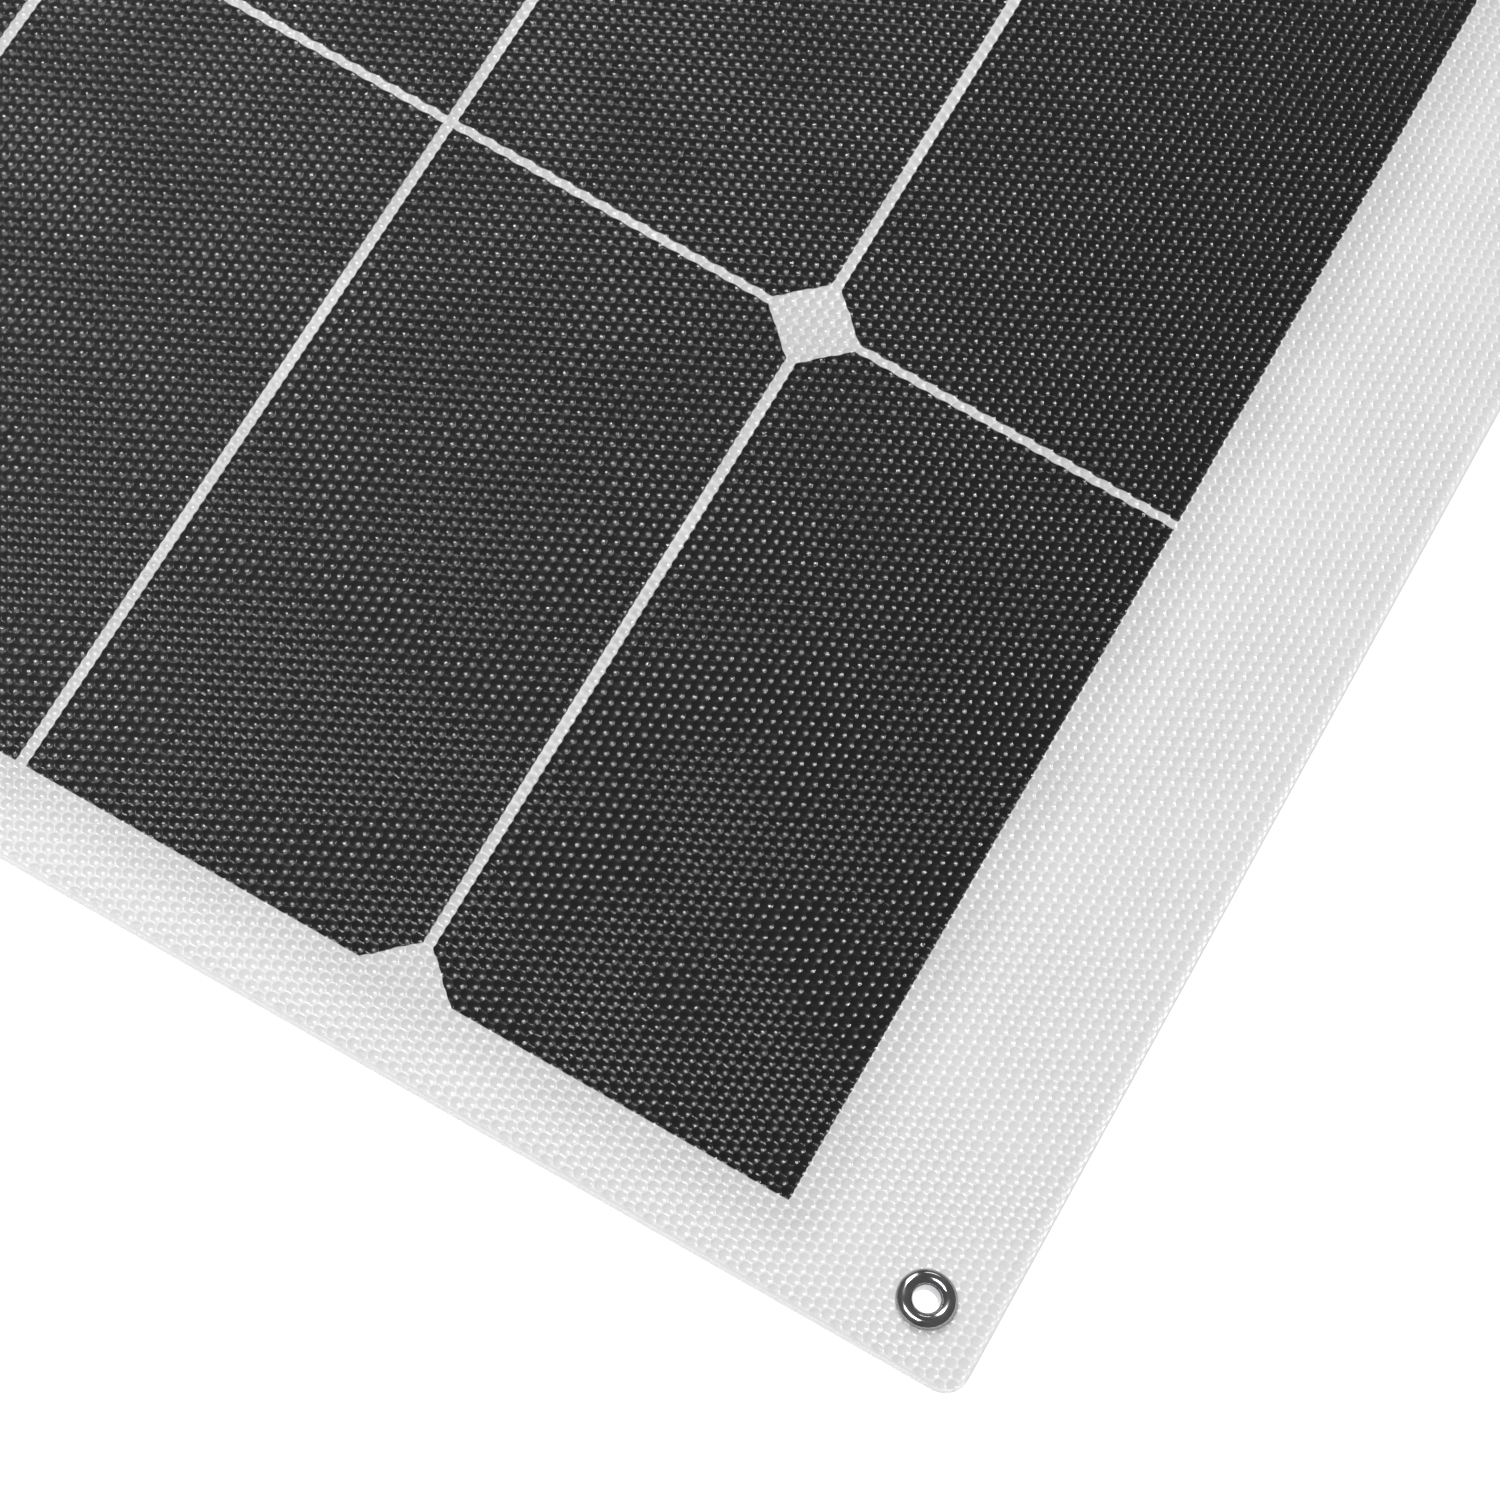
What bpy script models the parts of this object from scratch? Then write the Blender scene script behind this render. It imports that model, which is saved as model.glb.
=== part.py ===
"""Flexible solar sheet: half-cut silicon cells sealed between a white backing and a clear embossed film,
with a pressed eyelet in each corner and a slim junction box at one end.

Metres, +Z up. The origin is under the middle of the sheet, on the face it lies on. X runs along the strings
of cells, from the junction box end (-X) to the plain end (+X). The sheet bends about lines along Y.
"""
import math

import bmesh
import bpy
from mathutils import Matrix, Vector

# ---- Driving dimensions ----------------------------------------------------------------------------------

FIT_GAP = 0.0003              # clearance kept between pieces that touch on the real sheet

# Half cells: a 156.75 mm pseudo-square wafer cut in two, laid with the cut sides facing each other in turn.
CELL_WIDTH = 0.078375         # along X
CELL_LENGTH = 0.15675         # along Y
CELL_THICKNESS = 0.00025
CELL_CORNER_CUT = 0.0084      # each leg of the two cut-off corners
COLUMN_GAP = 0.0022
ROW_GAP = 0.0020
ROWS = 4

# The sheet bends between strips; each strip holds this many columns of cells, from -X to +X.
STRIPS = (("left_end", 1), ("left_inner", 2), ("middle", 2), ("right_inner", 2), ("right_end", 1))
STRIP_SLIT = 0.0004           # width of the line where two strips meet

END_BORDER = 0.0437           # white margin past the cells at each X end
SIDE_BORDER = 0.0172          # white margin past the cells at each Y side
SHEET_CORNER_RADIUS = 0.005

BACKING_FLOOR = 0.0012        # backing left under the cells
FILM_THICKNESS = 0.00045

# Bus ribbons: flat copper in the end margins, which joins the strings of cells end to end.
RIBBON_WIDTH = 0.005
RIBBON_THICKNESS = 0.00015
RIBBON_LANE_INNER = 0.0055    # cell edge to the middle of the nearer ribbon
RIBBON_LANE_OUTER = 0.0125    # cell edge to the middle of the farther ribbon
RIBBON_PAD_PITCH = 0.050      # spacing of the three tabs along a cell's edge
RIBBON_TAB_WIDTH = 0.004

# Eyelets: a turned-over flange on a short barrel, spread into a countersunk washer at the back.
EYELET_INSET = 0.0135         # from both edges of the sheet
EYELET_FLANGE_RADIUS = 0.00535
EYELET_FLANGE_RISE = 0.0011
EYELET_BORE_RADIUS = 0.0026
EYELET_WALL = 0.00045
EYELET_FLARE = 0.00075        # how far the barrel's lower end is spread
WASHER_RADIUS = 0.00535
WASHER_THICKNESS = 0.0005

# Junction box: an open base stuck to the film, with a hinged lid.
BOX_WIDTH = 0.034             # along X
BOX_LENGTH = 0.092            # along Y
BOX_HEIGHT = 0.0125           # base without its lid
BOX_WALL = 0.0018
BOX_FLOOR = 0.0020
BOX_CORNER_RADIUS = 0.003
LID_THICKNESS = 0.0020
LID_LIP_DEPTH = 0.0015
LID_LIP_WALL = 0.0010
LID_TAB_WIDTH = 0.014
LID_TAB_REACH = 0.0018
HINGE_BARREL_RADIUS = 0.0022
HINGE_BARREL_LENGTH = 0.056
HINGE_PIN_RADIUS = 0.0010
HINGE_LUG_THICKNESS = 0.0040
HINGE_WALL_GAP = 0.0004       # between the barrel and the base's wall

# Cable inlets: a boss on each short side of the base.
INLET_BORE_RADIUS = 0.0032
INLET_BOSS_RADIUS = 0.0052
INLET_BOSS_LENGTH = 0.0090
INLET_HEIGHT = 0.0062         # axis above the base's underside

# Inside the junction box.
DIODE_BODY_RADIUS = 0.0026
DIODE_BODY_LENGTH = 0.0095
DIODE_LEAD_RADIUS = 0.00065
DIODE_LENGTH = 0.040
TERMINAL_NEAR_END = 0.0150    # from the middle of the box
TERMINAL_LENGTH = 0.0180
TERMINAL_WIDTH = 0.0080
TERMINAL_CRIMP_LENGTH = 0.0080
TERMINAL_CRIMP_RADIUS = 0.0026
TERMINAL_CRIMP_BORE = 0.0016
TERMINAL_LEG_WIDTH = 0.0040   # along X
TERMINAL_LEG_THICKNESS = 0.0012

ROUND_SIDES = 32

# ---- Sizes worked out from them --------------------------------------------------------------------------

COLUMNS = sum(count for _, count in STRIPS)
SHEET_X = COLUMNS * CELL_WIDTH + (COLUMNS - 1) * COLUMN_GAP + 2 * END_BORDER
SHEET_Y = ROWS * CELL_LENGTH + (ROWS - 1) * ROW_GAP + 2 * SIDE_BORDER
CELLS_X = SHEET_X / 2 - END_BORDER            # where the outermost cells end
CELLS_Y = SHEET_Y / 2 - SIDE_BORDER

CELL_BOTTOM = BACKING_FLOOR + FIT_GAP
BACKING_TOP = CELL_BOTTOM + CELL_THICKNESS
RIBBON_BOTTOM = BACKING_TOP - RIBBON_THICKNESS
FILM_BOTTOM = BACKING_TOP + FIT_GAP
FILM_TOP = FILM_BOTTOM + FILM_THICKNESS
BEND_HEIGHT = FILM_TOP / 2

BARREL_RADIUS = EYELET_BORE_RADIUS + EYELET_WALL
BARREL_HOLE_RADIUS = BARREL_RADIUS + FIT_GAP
WASHER_RECESS = WASHER_THICKNESS + FIT_GAP
CONE_GAP = FIT_GAP * math.sqrt(2)             # clearance across a 45 degree cone, measured level

HINGE_REACH = HINGE_BARREL_RADIUS + HINGE_WALL_GAP
BOX_X = -(SHEET_X / 2 - END_BORDER / 2) + (HINGE_REACH + HINGE_BARREL_RADIUS) / 2
BOX_BOTTOM = FILM_TOP + FIT_GAP
BOX_FLOOR_TOP = BOX_BOTTOM + BOX_FLOOR
BOX_RIM = BOX_BOTTOM + BOX_HEIGHT
LID_BOTTOM = BOX_RIM + FIT_GAP
HINGE_X = BOX_X - BOX_WIDTH / 2 - HINGE_REACH
HINGE_Z = LID_BOTTOM + LID_THICKNESS / 2
INLET_Z = BOX_BOTTOM + INLET_HEIGHT

DIODE_Z = BOX_FLOOR_TOP + FIT_GAP + DIODE_BODY_RADIUS
TERMINAL_BOTTOM = BOX_FLOOR_TOP + FIT_GAP
TERMINAL_TOP = DIODE_Z - DIODE_LEAD_RADIUS - FIT_GAP
TERMINAL_LEG_Y = TERMINAL_NEAR_END + TERMINAL_LENGTH / 2

# ---- Scene -----------------------------------------------------------------------------------------------

for old in list(bpy.data.objects):
    bpy.data.objects.remove(old, do_unlink=True)

PARTS = bpy.data.collections.new("flexible_solar_sheet")
CUTTERS = bpy.data.collections.new("cutters")
for group in (PARTS, CUTTERS):
    bpy.context.scene.collection.children.link(group)


def finish(name, colour, roughness, metallic=0.0):
    """A plain material."""
    material = bpy.data.materials.new(name)
    material.use_nodes = True
    shader = material.node_tree.nodes["Principled BSDF"]
    shader.inputs["Base Color"].default_value = (*colour, 1.0)
    shader.inputs["Roughness"].default_value = roughness
    shader.inputs["Metallic"].default_value = metallic
    return material


BACKING_WHITE = finish("backing_white", (0.86, 0.86, 0.86), 0.55)
FILM_CLEAR = finish("film_clear", (0.80, 0.82, 0.84), 0.25)
CELL_BLACK = finish("cell_black", (0.03, 0.03, 0.032), 0.35)
COPPER = finish("tinned_copper", (0.62, 0.58, 0.52), 0.35, 1.0)
NICKEL = finish("eyelet_nickel", (0.42, 0.41, 0.40), 0.20, 1.0)
BOX_BLACK = finish("junction_box_black", (0.02, 0.02, 0.021), 0.50)
DIODE_BLACK = finish("diode_black", (0.03, 0.03, 0.03), 0.40)


# ---- Making solids ---------------------------------------------------------------------------------------

def link(name, mesh, location=(0, 0, 0)):
    piece = bpy.data.objects.new(name, mesh)
    piece.location = location
    PARTS.objects.link(piece)
    return piece


def outline_mesh(name, loops, thickness, edge_round=0.0):
    """A flat plate with the given outlines, its thickness centred on Z = 0."""
    curve = bpy.data.curves.new(name, "CURVE")
    curve.dimensions = "2D"
    curve.fill_mode = "BOTH"
    curve.extrude = thickness / 2 - edge_round
    curve.bevel_depth = edge_round
    curve.bevel_resolution = 1
    curve.offset = -edge_round
    for loop in loops:
        spline = curve.splines.new("POLY")
        spline.points.add(len(loop) - 1)
        spline.use_cyclic_u = True
        for point, (x, y) in zip(spline.points, loop):
            point.co = (x, y, 0, 1)
    source = bpy.data.objects.new(name, curve)
    CUTTERS.objects.link(source)
    bpy.context.view_layer.update()
    mesh = bpy.data.meshes.new_from_object(source.evaluated_get(bpy.context.evaluated_depsgraph_get()))
    bpy.data.objects.remove(source, do_unlink=True)
    weld(mesh)
    mesh.name = name
    return mesh


def weld(mesh):
    form = bmesh.new()
    form.from_mesh(mesh)
    bmesh.ops.remove_doubles(form, verts=form.verts, dist=1e-7)
    bmesh.ops.recalc_face_normals(form, faces=form.faces)
    form.to_mesh(mesh)
    form.free()


def plate(name, loops, bottom, top, edge_round=0.0):
    mesh = outline_mesh(name, loops, top - bottom, edge_round)
    return link(name, mesh, (0, 0, (bottom + top) / 2))


def block(name, low, high):
    low, high = Vector(low), Vector(high)
    form = bmesh.new()
    bmesh.ops.create_cube(form, size=1.0)
    bmesh.ops.scale(form, vec=high - low, verts=form.verts)
    mesh = bpy.data.meshes.new(name)
    form.to_mesh(mesh)
    form.free()
    return link(name, mesh, (low + high) / 2)


def rod_y(name, x, z, y_start, y_end, radius):
    """A round bar along Y."""
    form = bmesh.new()
    bmesh.ops.create_cone(form, cap_ends=True, segments=ROUND_SIDES, radius1=radius, radius2=radius,
                          depth=y_end - y_start, matrix=Matrix.Rotation(math.pi / 2, 4, "X"))
    return link(name, smooth_mesh(name, form), (x, (y_start + y_end) / 2, z))


def disc(name, x, y, bottom, top, radius):
    """A round bar along Z."""
    form = bmesh.new()
    bmesh.ops.create_cone(form, cap_ends=True, segments=ROUND_SIDES, radius1=radius, radius2=radius,
                          depth=top - bottom)
    return link(name, smooth_mesh(name, form), (x, y, (bottom + top) / 2))


def smooth_mesh(name, form):
    mesh = bpy.data.meshes.new(name)
    form.to_mesh(mesh)
    form.free()
    mesh.shade_smooth()
    mesh.set_sharp_from_angle(angle=math.radians(35))
    return mesh


def turned_mesh(name, profile):
    """A ring turned about Z; its closed profile runs down the outer side."""
    form = bmesh.new()
    corners = [form.verts.new((radius, 0, z)) for radius, z in profile]
    for here, after in zip(corners, corners[1:] + corners[:1]):
        form.edges.new((here, after))
    mesh = bpy.data.meshes.new(name)
    form.to_mesh(mesh)
    form.free()
    source = bpy.data.objects.new(name, mesh)
    CUTTERS.objects.link(source)
    turn = source.modifiers.new("turn", "SCREW")
    turn.steps = turn.render_steps = ROUND_SIDES
    turn.use_merge_vertices = True
    turn.merge_threshold = 0.00001
    bpy.context.view_layer.update()
    turned = bpy.data.meshes.new_from_object(source.evaluated_get(bpy.context.evaluated_depsgraph_get()))
    bpy.data.objects.remove(source, do_unlink=True)
    turned.name = name
    turned.shade_smooth()
    turned.set_sharp_from_angle(angle=math.radians(40))
    return turned


def combine(piece, tool, operation):
    """Cut a tool out of a piece, or join it on."""
    PARTS.objects.unlink(tool)
    CUTTERS.objects.link(tool)
    tool.hide_render = True
    tool.display_type = "WIRE"
    step = piece.modifiers.new(tool.name, "BOOLEAN")
    step.operation = operation
    step.object = tool


def cut(piece, tool):
    combine(piece, tool, "DIFFERENCE")


def join(piece, tool):
    combine(piece, tool, "UNION")


def rounded_box(x_low, y_low, x_high, y_high, radii):
    """An outline of a box; radii are those of its corners, anticlockwise from low X, low Y."""
    corners = ((x_low, y_low, 180), (x_high, y_low, 270), (x_high, y_high, 0), (x_low, y_high, 90))
    points = []
    for (x, y, start), radius in zip(corners, radii):
        if radius == 0:
            points.append((x, y))
            continue
        centre_x = x + (radius if x == x_low else -radius)
        centre_y = y + (radius if y == y_low else -radius)
        for step in range(7):
            angle = math.radians(start + 15 * step)
            points.append((centre_x + radius * math.cos(angle), centre_y + radius * math.sin(angle)))
    return points


def paint(piece, material):
    piece.data.materials.clear()
    piece.data.materials.append(material)


# ---- Layout ----------------------------------------------------------------------------------------------

def column_x(column):
    """Middle of a column of cells, counted from 0 at -X."""
    return -CELLS_X + CELL_WIDTH / 2 + column * (CELL_WIDTH + COLUMN_GAP)


def row_y(row):
    """Middle of a row of cells, counted from 0 at -Y."""
    return -CELLS_Y + CELL_LENGTH / 2 + row * (CELL_LENGTH + ROW_GAP)


def cell_outline(x, y, cut_side, margin=0.0):
    """A half cell, or its pocket; cut_side is +1 or -1, the X side whose corners are cut off."""
    half_x = CELL_WIDTH / 2 + margin
    half_y = CELL_LENGTH / 2 + margin
    leg = CELL_CORNER_CUT + margin * (2 - math.sqrt(2))
    square_x = x - cut_side * half_x
    cut_x = x + cut_side * half_x
    return [(square_x, y - half_y), (cut_x - cut_side * leg, y - half_y), (cut_x, y - half_y + leg),
            (cut_x, y + half_y - leg), (cut_x - cut_side * leg, y + half_y), (square_x, y + half_y)]


def cut_side_of(column):
    return 1 if column % 2 == 0 else -1


class Strip:
    """One strip of the sheet: its columns, its X range and the empty that its pieces hang from."""

    def __init__(self, name, first, count):
        self.name = name
        self.columns = range(first, first + count)
        self.is_left_end = first == 0
        self.is_right_end = first + count == COLUMNS
        self.x_low = -SHEET_X / 2
        self.x_high = SHEET_X / 2
        if not self.is_left_end:
            self.x_low = column_x(first) - (CELL_WIDTH + COLUMN_GAP) / 2 + STRIP_SLIT / 2
        if not self.is_right_end:
            self.x_high = column_x(first + count - 1) + (CELL_WIDTH + COLUMN_GAP) / 2 - STRIP_SLIT / 2
        self.empty = None

    def outline(self):
        left = SHEET_CORNER_RADIUS if self.is_left_end else 0
        right = SHEET_CORNER_RADIUS if self.is_right_end else 0
        return rounded_box(self.x_low, -SHEET_Y / 2, self.x_high, SHEET_Y / 2, (left, right, right, left))


def make_strips():
    strips = {}
    first = 0
    for name, count in STRIPS:
        strips[name] = Strip(name, first, count)
        first += count
    return strips


STRIP = make_strips()


def hinge_empty(name, location, parent=None):
    """An empty on a joint's axis; what moves with the joint hangs from it."""
    empty = bpy.data.objects.new(name, None)
    empty.location = location
    PARTS.objects.link(empty)
    if parent:
        hang(empty, parent)
    return empty


def hang(piece, parent):
    """Parent a piece without moving it."""
    bpy.context.view_layer.update()
    piece.parent = parent
    piece.matrix_parent_inverse = parent.matrix_world.inverted()


def bend_line(inner, outer):
    """X of the line where two neighbouring strips meet."""
    if STRIP[inner].x_high < STRIP[outer].x_low:
        return (STRIP[inner].x_high + STRIP[outer].x_low) / 2
    return (STRIP[inner].x_low + STRIP[outer].x_high) / 2


for side in ("left", "right"):
    inner_x = bend_line("middle", side + "_inner")
    outer_x = bend_line(side + "_inner", side + "_end")
    inner = hinge_empty(side + "_inner_bend", (inner_x, 0, BEND_HEIGHT))
    STRIP[side + "_inner"].empty = inner
    STRIP[side + "_end"].empty = hinge_empty(side + "_end_bend", (outer_x, 0, BEND_HEIGHT), inner)


# ---- Cells -----------------------------------------------------------------------------------------------

def make_cells():
    mesh = outline_mesh("half_cell", [cell_outline(0, 0, 1)], CELL_THICKNESS)
    mesh.materials.append(CELL_BLACK)
    for strip in STRIP.values():
        for column in strip.columns:
            for row in range(ROWS):
                name = f"cell_column{column + 1}_row{row + 1}"
                cell = link(name, mesh, (column_x(column), row_y(row), CELL_BOTTOM + CELL_THICKNESS / 2))
                cell.rotation_euler.z = 0 if cut_side_of(column) == 1 else math.pi
                if strip.empty:
                    hang(cell, strip.empty)


# ---- Bus ribbons -----------------------------------------------------------------------------------------

class Ribbon:
    """A flat ribbon along Y beside the cells of one end, with tabs to the cells it joins."""

    def __init__(self, name, end, lane, tab_rows, reach=None):
        self.name = name
        self.end = end                    # +1 or -1, the X end it lies at
        self.lane = lane                  # from the cells' edge to the ribbon's middle
        self.tabs = sorted(row_y(row) + step * RIBBON_PAD_PITCH for row in tab_rows for step in (-1, 0, 1))
        self.bare_low = reach is not None and reach < self.tabs[0]
        self.bare_high = reach is not None and reach > self.tabs[-1]
        self.y_low = (reach if self.bare_low else self.tabs[0]) - RIBBON_TAB_WIDTH / 2
        self.y_high = (reach if self.bare_high else self.tabs[-1]) + RIBBON_TAB_WIDTH / 2

    def outline(self, margin=0.0):
        outer = self.end * (CELLS_X + self.lane + RIBBON_WIDTH / 2 + margin)
        inner = self.end * (CELLS_X + self.lane - RIBBON_WIDTH / 2 - margin)
        tip = self.end * (CELLS_X + FIT_GAP - margin)
        half_tab = RIBBON_TAB_WIDTH / 2 + margin
        low, high = self.y_low - margin, self.y_high + margin
        points = [(outer, high), (outer, low)] + ([(inner, low)] if self.bare_low else [])
        for y in self.tabs:
            if y != self.tabs[0] or self.bare_low:
                points.append((inner, y - half_tab))
            points += [(tip, y - half_tab), (tip, y + half_tab)]
            if y != self.tabs[-1] or self.bare_high:
                points.append((inner, y + half_tab))
        if self.bare_high:
            points.append((inner, high))
        return points


RIBBONS = {
    "right_end": [Ribbon("bus_ribbon_right_lower", 1, RIBBON_LANE_INNER, (0, 1)),
                  Ribbon("bus_ribbon_right_upper", 1, RIBBON_LANE_INNER, (2, 3))],
    "left_end": [Ribbon("bus_ribbon_left_middle", -1, RIBBON_LANE_INNER, (1, 2)),
                 Ribbon("lead_ribbon_lower", -1, RIBBON_LANE_OUTER, (0,), -TERMINAL_LEG_Y),
                 Ribbon("lead_ribbon_upper", -1, RIBBON_LANE_OUTER, (3,), TERMINAL_LEG_Y)],
}
TERMINAL_LEG_X = -(CELLS_X + RIBBON_LANE_OUTER)


def make_ribbons():
    for strip_name, ribbons in RIBBONS.items():
        for ribbon in ribbons:
            piece = plate(ribbon.name, [ribbon.outline()], RIBBON_BOTTOM, BACKING_TOP)
            paint(piece, COPPER)
            hang(piece, STRIP[strip_name].empty)


# ---- Backing and film ------------------------------------------------------------------------------------

def eyelet_centres(strip):
    end = -1 if strip.is_left_end else 1 if strip.is_right_end else 0
    return [(end * (SHEET_X / 2 - EYELET_INSET), side * (SHEET_Y / 2 - EYELET_INSET), corner)
            for side, corner in ((-1, "lower"), (1, "upper")) if end]


def make_backing(strip):
    """White backing: pockets for the cells and ribbons, and a sunk seat under each eyelet."""
    name = "backing_" + strip.name
    backing = plate(name, [strip.outline()], 0, BACKING_TOP)
    above = BACKING_TOP + FIT_GAP
    pockets = [cell_outline(column_x(column), row_y(row), cut_side_of(column), FIT_GAP)
               for column in strip.columns for row in range(ROWS)]
    cut(backing, plate(name + "_cell_pockets", pockets, BACKING_FLOOR, above))
    slots = [ribbon.outline(FIT_GAP) for ribbon in RIBBONS.get(strip.name, ())]
    if slots:
        cut(backing, plate(name + "_ribbon_slots", slots, RIBBON_BOTTOM - FIT_GAP, above))
    for x, y, corner in eyelet_centres(strip):
        cut(backing, disc(f"{name}_{corner}_hole", x, y, -FIT_GAP, above, BARREL_HOLE_RADIUS))
        cut(backing, disc(f"{name}_{corner}_seat", x, y, -FIT_GAP, WASHER_RECESS, WASHER_RADIUS + FIT_GAP))
    paint(backing, BACKING_WHITE)
    return backing


def terminal_leg_box(y, bottom, top, margin=0.0):
    half_x = TERMINAL_LEG_WIDTH / 2 + margin
    half_y = TERMINAL_LEG_THICKNESS / 2 + margin
    return ((TERMINAL_LEG_X - half_x, y - half_y, bottom), (TERMINAL_LEG_X + half_x, y + half_y, top))


def make_film(strip):
    """Clear film over the cells, with holes for the eyelets and for the junction box's terminals."""
    name = "film_" + strip.name
    film = plate(name, [strip.outline()], FILM_BOTTOM, FILM_TOP)
    low, high = FILM_BOTTOM - FIT_GAP, FILM_TOP + FIT_GAP
    for x, y, corner in eyelet_centres(strip):
        cut(film, disc(f"{name}_{corner}_hole", x, y, low, high, BARREL_HOLE_RADIUS))
    if strip.is_left_end:
        for side, y in (("lower", -TERMINAL_LEG_Y), ("upper", TERMINAL_LEG_Y)):
            cut(film, block(f"{name}_{side}_leg_slot", *terminal_leg_box(y, low, high, FIT_GAP)))
    paint(film, FILM_CLEAR)
    return film


def make_laminate():
    for strip in STRIP.values():
        for piece in (make_backing(strip), make_film(strip)):
            if strip.empty:
                hang(piece, strip.empty)


# ---- Eyelets ---------------------------------------------------------------------------------------------

def eyelet_profile():
    """Domed flange on top, straight barrel through the sheet, lower end spread like a cone."""
    flange_bottom = FILM_TOP + FIT_GAP
    middle = (EYELET_BORE_RADIUS + EYELET_FLANGE_RADIUS) / 2
    half_width = EYELET_FLANGE_RADIUS - middle
    cone_top = WASHER_RECESS
    cone_bottom = cone_top - EYELET_FLARE
    points = []
    for step in range(11):
        angle = math.pi - math.pi * step / 10
        points.append((middle + half_width * math.cos(angle),
                       flange_bottom + EYELET_FLANGE_RISE * math.sin(angle)))
    points += [(BARREL_RADIUS, flange_bottom),
               (BARREL_RADIUS, cone_top),
               (BARREL_RADIUS + EYELET_FLARE, cone_bottom),
               (BARREL_RADIUS + EYELET_FLARE - cone_bottom, 0),
               (EYELET_BORE_RADIUS + cone_top, 0),
               (EYELET_BORE_RADIUS, cone_top)]
    return points


def washer_profile():
    cone_bottom = BARREL_RADIUS + WASHER_RECESS + CONE_GAP
    return [(WASHER_RADIUS, WASHER_THICKNESS), (WASHER_RADIUS, 0), (cone_bottom, 0),
            (cone_bottom - WASHER_THICKNESS, WASHER_THICKNESS)]


def make_eyelets():
    eyelet_mesh = turned_mesh("eyelet", eyelet_profile())
    washer_mesh = turned_mesh("eyelet_washer", washer_profile())
    for mesh in (eyelet_mesh, washer_mesh):
        mesh.materials.append(NICKEL)
    for end in ("left", "right"):
        strip = STRIP[end + "_end"]
        for x, y, corner in eyelet_centres(strip):
            hang(link(f"eyelet_{end}_{corner}", eyelet_mesh, (x, y, 0)), strip.empty)
            hang(link(f"eyelet_washer_{end}_{corner}", washer_mesh, (x, y, 0)), strip.empty)


# ---- Junction box ----------------------------------------------------------------------------------------

def box_outline(inset):
    half_x = BOX_WIDTH / 2 - inset
    half_y = BOX_LENGTH / 2 - inset
    radius = max(BOX_CORNER_RADIUS - inset, 0.0008)
    return rounded_box(BOX_X - half_x, -half_y, BOX_X + half_x, half_y, (radius,) * 4)


def lug_outline():
    """Side view (X, Z) of a hinge lug: an eye round the pin on an arm that slopes down to the wall."""
    radius = HINGE_BARREL_RADIUS
    eye = [(HINGE_X + radius * math.cos(math.radians(15 * step)),
            HINGE_Z + radius * math.sin(math.radians(15 * step))) for step in range(13)]
    inside_wall = BOX_X - BOX_WIDTH / 2 + BOX_WALL / 2
    return eye + [(HINGE_X - radius, HINGE_Z - radius), (inside_wall, HINGE_Z - 3 * radius),
                  (inside_wall, BOX_RIM - FIT_GAP), (HINGE_X + radius, BOX_RIM - FIT_GAP)]


def make_box_base(parent):
    base = plate("junction_box_base", [box_outline(0)], BOX_BOTTOM, BOX_RIM)
    above = BOX_RIM + FIT_GAP
    lug_middle = HINGE_BARREL_LENGTH / 2 + FIT_GAP + HINGE_LUG_THICKNESS / 2
    for end, side in ((-1, "lower"), (1, "upper")):
        # The boss starts inside the wall, so that the two join all round.
        ys = sorted((end * (BOX_LENGTH / 2 - BOX_WALL / 2), end * (BOX_LENGTH / 2 + INLET_BOSS_LENGTH)))
        join(base, rod_y(f"inlet_boss_{side}", BOX_X, INLET_Z, *ys, INLET_BOSS_RADIUS))
        lug = link(f"lug_{side}", outline_mesh(f"lug_{side}", [lug_outline()], HINGE_LUG_THICKNESS))
        lug.location.y = end * lug_middle
        lug.rotation_euler.x = math.pi / 2
        join(base, lug)
    cut(base, plate("base_cavity", [box_outline(BOX_WALL)], BOX_FLOOR_TOP, above))
    reach = BOX_LENGTH / 2 + INLET_BOSS_LENGTH + FIT_GAP
    cut(base, rod_y("inlet_bore", BOX_X, INLET_Z, -reach, reach, INLET_BORE_RADIUS))
    pin_reach = lug_middle + HINGE_LUG_THICKNESS
    cut(base, rod_y("hinge_bore", HINGE_X, HINGE_Z, -pin_reach, pin_reach, HINGE_PIN_RADIUS + FIT_GAP))
    for side, y in (("lower", -TERMINAL_LEG_Y), ("upper", TERMINAL_LEG_Y)):
        slot = terminal_leg_box(y, BOX_BOTTOM - FIT_GAP, BOX_FLOOR_TOP + FIT_GAP, FIT_GAP)
        cut(base, block(f"base_leg_slot_{side}", *slot))
    paint(base, BOX_BLACK)
    hang(base, parent)


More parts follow.
